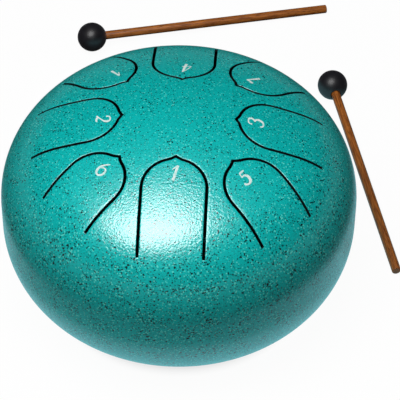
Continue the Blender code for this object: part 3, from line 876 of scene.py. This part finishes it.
def oiled_hardwood(name, at, turn):
    """Oiled reddish hardwood: long dark pores and streaks along the stick, with a low sheen."""
    # Real pores are 0.1 to 0.2 mm wide, and are drawn wider so that they show
    pore = (0.00045, 0.00045, 0.006)
    pore_depth = 0.0001
    streak = (0.0009, 0.0009, 0.014)
    material, tree, shader, place = new_material(name)
    upright = add(tree, "Mapping", {"Vector": place, "Location": at, "Rotation": turn},
                  vector_type='TEXTURE')
    long_cells = add(tree, "Mapping", {"Vector": upright.outputs["Vector"],
                                       "Scale": [1 / size for size in streak]})
    streaks = add(tree, "TexNoise", {"Vector": long_cells.outputs["Vector"], "Scale": 1.0,
                                     "Detail": 3.0})
    spread = add(tree, "MapRange", {"Value": streaks.outputs["Fac"],
                                    "From Min": 0.35, "From Max": 0.7})
    wood = add(tree, "Mix", {FACTOR: spread.outputs["Result"], FIRST: linear("BA6E2A"),
                             SECOND: linear("763C14")}, data_type='RGBA')
    fine_cells = add(tree, "Mapping", {"Vector": upright.outputs["Vector"],
                                       "Scale": [1 / size for size in pore]})
    pores = add(tree, "TexNoise", {"Vector": fine_cells.outputs["Vector"], "Scale": 1.0,
                                   "Detail": 2.0})
    deep = add(tree, "MapRange", {"Value": pores.outputs["Fac"],
                                  "From Min": 0.58, "From Max": 0.68})
    grained = add(tree, "Mix", {FACTOR: deep.outputs["Result"], FIRST: wood.outputs[MIXED],
                                SECOND: linear("4E2810")}, data_type='RGBA')
    bump = add(tree, "Bump", {"Height": pores.outputs["Fac"], "Strength": 0.4,
                              "Distance": pore_depth})
    tree.links.new(grained.outputs[MIXED], shader.inputs["Base Color"])
    tree.links.new(bump.outputs["Normal"], shader.inputs["Normal"])
    shader.inputs["Roughness"].default_value = 0.42
    return material


ball_outline = arc((0.0, 0.0), BALL_RADIUS, 90, -MOUTH_ANGLE, BALL_ARC_STEPS)
ball_outline += arc((MOUTH_RADIUS, MOUTH_Z), MOUTH_ROUNDING, -MOUTH_ANGLE, -180, MOUTH_STEPS)[1:]
ball_outline += [(BORE_RADIUS, BORE_END), (0.0, BORE_END)]
stick_edge = STICK_RADIUS - STICK_ROUNDING
stick_outline = [(0.0, STICK_TOP)]
stick_outline += arc((stick_edge, STICK_TOP - STICK_ROUNDING), STICK_ROUNDING, 90, 0, STICK_END_STEPS)
stick_outline += arc((stick_edge, STICK_ROUNDING - STICK_TAIL), STICK_ROUNDING, 0, -90, STICK_END_STEPS)
stick_outline += [(0.0, -STICK_TAIL)]
for side, stand_off, heading, lead in MALLETS:
    along = Vector((math.cos(heading), math.sin(heading), 0.0))
    away = Vector((-along.y, along.x, 0.0))
    at = Vector((AXIS.x, AXIS.y, BALL_RADIUS)) + away * (DRUM_RADIUS + stand_off) + along * lead
    lying = (0.0, TILT - math.pi / 2, heading)
    ball = turned("mallet_" + side + "_ball", ball_outline, BALL_STEPS, closed=False)
    ball.location = at
    ball.rotation_euler = lying
    finish(ball, polished_rubber("black_rubber_of_" + side + "_ball"), "mallet_" + side,
           "mallet_rubber", "mallet_" + side + "_head")
    stick = turned("mallet_" + side + "_wooden_stick", stick_outline, STICK_STEPS, closed=False)
    stick.location = at
    stick.rotation_euler = lying
    finish(stick, oiled_hardwood("oiled_hardwood_of_" + side + "_stick", at, lying), "mallet_" + side,
           "mallet_wood", "mallet_" + side + "_stick")


# Studio: a pale floor, one large soft lamp above the player's left hand, and a soft grey room. The
# camera looks down over the near edge through a long lens.
FLOOR_SIZE = 60.0
# Strength of the floor's own glow, where 1 is white. The camera sees it all over but under the drum,
# where a painted shadow takes it out.
FLOOR_LIFT = 0.96
PAINTED_SHADOW_FROM = 0.065
PAINTED_SHADOW_TO = 0.100
# Gloss sees that glow come up with distance from the drum, as painted shade in reflections near the
# drum, and a painted pool of light round the drum, tinted teal as painted bounce light, which fades out
# between two distances from the pool's own centre
FAR_FROM = 1.50
FAR_TO = 8.00
POOL_LIFT = 1.08
POOL_CENTRE = (AXIS.x + 0.014, AXIS.y + 0.030, 0.0)
POOL_FROM = 0.160
POOL_TO = 0.235
PAINTED_BOUNCE_TINT = "9CDEE8"
# The lamp's axis meets the playing face here, and comes from this direction
HIGHLIGHT = Vector((AXIS.x - 0.014, AXIS.y - 0.091, 0.145))
LAMP_AZIMUTH = math.radians(234.5)
LAMP_ELEVATION = math.radians(72.5)
LAMP_DISTANCE = 1.3
LAMP_WIDTH = 0.96
LAMP_LENGTH = 1.25
LAMP_WATTS = 17.8
# Strength of the room. Gloss sees only its horizon, which fades out by this sine of the elevation.
ROOM_LIGHT = 0.20
HORIZON_TOP = 0.06
CAMERA_AT = Vector((AXIS.x + 0.0567, AXIS.y - 1.0602, 1.1312))
CAMERA_AIM = Vector((AXIS.x + 0.0154, AXIS.y - 0.0071, SIDE_TOP))
CAMERA_ROLL = math.radians(0.66)
FILM_WIDTH = 36.0
FOCAL_LENGTH = 187.07
CAMERA_REACH = 100.0
# Sockets of a Mix node that mixes numbers
FIRST_NUMBER, SECOND_NUMBER = 2, 3


def in_gloss(tree, rays):
    """One for a ray that a glossy or clear surface sends on, and nought for the others."""
    return add(tree, "Math", {0: rays.outputs["Is Glossy Ray"], 1: rays.outputs["Is Transmission Ray"]},
               operation='MAXIMUM').outputs[0]


def fade(tree, place, centre, start, end, near=0.0, far=1.0):
    """Value that goes smoothly from near to far, between two distances from a point."""
    moved = add(tree, "Mapping", {"Vector": place, "Location": centre}, vector_type='TEXTURE')
    distance = add(tree, "VectorMath", {0: moved.outputs["Vector"]}, operation='LENGTH')
    return add(tree, "MapRange", {"Value": distance.outputs["Value"], "From Min": start,
                                  "From Max": end, "To Min": near, "To Max": far},
               interpolation_type='SMOOTHSTEP').outputs["Result"]


def pale_floor(name):
    """Matt pale floor: white to the camera but for a painted shadow under the drum, and a painted pool
    of light round the drum to whatever mirrors it.
    """
    axis = (AXIS.x, AXIS.y, 0.0)
    material, tree, shader, place = new_material(name)
    rays = add(tree, "LightPath")
    to_camera = rays.outputs["Is Camera Ray"]
    far = fade(tree, place, axis, FAR_FROM, FAR_TO)
    clear = fade(tree, place, axis, PAINTED_SHADOW_FROM, PAINTED_SHADOW_TO)
    painted_light_pool = fade(tree, place, POOL_CENTRE, POOL_FROM, POOL_TO, POOL_LIFT, 0.0)
    pool = add(tree, "Math", {0: painted_light_pool, 1: clear}, operation='MULTIPLY')
    glow = add(tree, "Math", {0: far, 1: pool.outputs[0]}, operation='MAXIMUM')
    mirrored = add(tree, "Math", {0: in_gloss(tree, rays), 1: glow.outputs[0]}, operation='MULTIPLY')
    # Under the drum the camera sees no glow: a painted shadow
    direct = add(tree, "Math", {0: to_camera, 1: clear}, operation='MULTIPLY')
    seen = add(tree, "Math", {0: direct.outputs[0], 1: mirrored.outputs[0]}, operation='MAXIMUM')
    lift = add(tree, "Math", {0: seen.outputs[0], 1: FLOOR_LIFT}, operation='MULTIPLY')
    # Near the drum, what mirrors the floor sees the glow tinted teal, as painted bounce light
    painted_bounce_tint = add(tree, "Mix", {FACTOR: far, FIRST: linear(PAINTED_BOUNCE_TINT),
                                      SECOND: linear("FFFFFF")}, data_type='RGBA')
    tint = add(tree, "Mix", {FACTOR: to_camera, FIRST: painted_bounce_tint.outputs[MIXED],
                             SECOND: linear("FFFFFF")}, data_type='RGBA')
    tree.links.new(tint.outputs[MIXED], shader.inputs["Emission Color"])
    tree.links.new(lift.outputs[0], shader.inputs["Emission Strength"])
    shader.inputs["Base Color"].default_value = linear("363636")
    shader.inputs["Roughness"].default_value = 0.9
    shader.inputs["Specular IOR Level"].default_value = 0.0
    return material


def grey_room(name):
    """Room: white to the camera, a soft grey light on the object, and to gloss a dim low horizon."""
    world = bpy.data.worlds.new(name)
    world.use_nodes = True
    tree = world.node_tree
    direction = add(tree, "SeparateXYZ", {"Vector": add(tree, "TexCoord").outputs["Generated"]})
    horizon = add(tree, "MapRange", {"Value": direction.outputs["Z"], "From Min": 0.0,
                                     "From Max": HORIZON_TOP, "To Min": ROOM_LIGHT, "To Max": 0.0},
                  interpolation_type='SMOOTHSTEP')
    rays = add(tree, "LightPath")
    around = add(tree, "Mix", {FACTOR: in_gloss(tree, rays), FIRST_NUMBER: ROOM_LIGHT,
                               SECOND_NUMBER: horizon.outputs["Result"]})
    seen = add(tree, "Mix", {FACTOR: rays.outputs["Is Camera Ray"], FIRST_NUMBER: around.outputs[0],
                             SECOND_NUMBER: 1.0})
    tree.nodes["Background"].inputs["Color"].default_value = linear("FFFFFF")
    tree.links.new(seen.outputs[0], tree.nodes["Background"].inputs["Strength"])
    return world


def stood(name, data, at, turn):
    """Put a lamp or a camera at a place, turned by a quaternion."""
    obj = bpy.data.objects.new(name, data)
    bpy.context.scene.collection.objects.link(obj)
    obj.location = at
    obj.rotation_mode = 'QUATERNION'
    obj.rotation_quaternion = turn
    return obj


bpy.ops.mesh.primitive_plane_add(size=FLOOR_SIZE)
floor = bpy.context.object
floor.name = "studio_floor"
floor.data.materials.append(pale_floor("pale_studio_floor"))
bpy.context.scene.world = grey_room("soft_grey_room")

lamp = bpy.data.lights.new("key_lamp", 'AREA')
lamp.shape = 'ELLIPSE'
lamp.size = LAMP_WIDTH
lamp.size_y = LAMP_LENGTH
lamp.energy = LAMP_WATTS
to_lamp = Vector((math.cos(LAMP_AZIMUTH) * math.cos(LAMP_ELEVATION),
                  math.sin(LAMP_AZIMUTH) * math.cos(LAMP_ELEVATION), math.sin(LAMP_ELEVATION)))
stood("key_lamp", lamp, HIGHLIGHT + to_lamp * LAMP_DISTANCE, (-to_lamp).to_track_quat('-Z', 'Y'))

view = bpy.data.cameras.new("camera")
view.sensor_width = FILM_WIDTH
view.lens = FOCAL_LENGTH
view.clip_end = CAMERA_REACH
level = (CAMERA_AIM - CAMERA_AT).to_track_quat('-Z', 'Y')
bpy.context.scene.camera = stood("camera", view, CAMERA_AT,
                                 level @ Quaternion((0.0, 0.0, 1.0), CAMERA_ROLL))
bpy.context.scene.view_settings.view_transform = 'Standard'
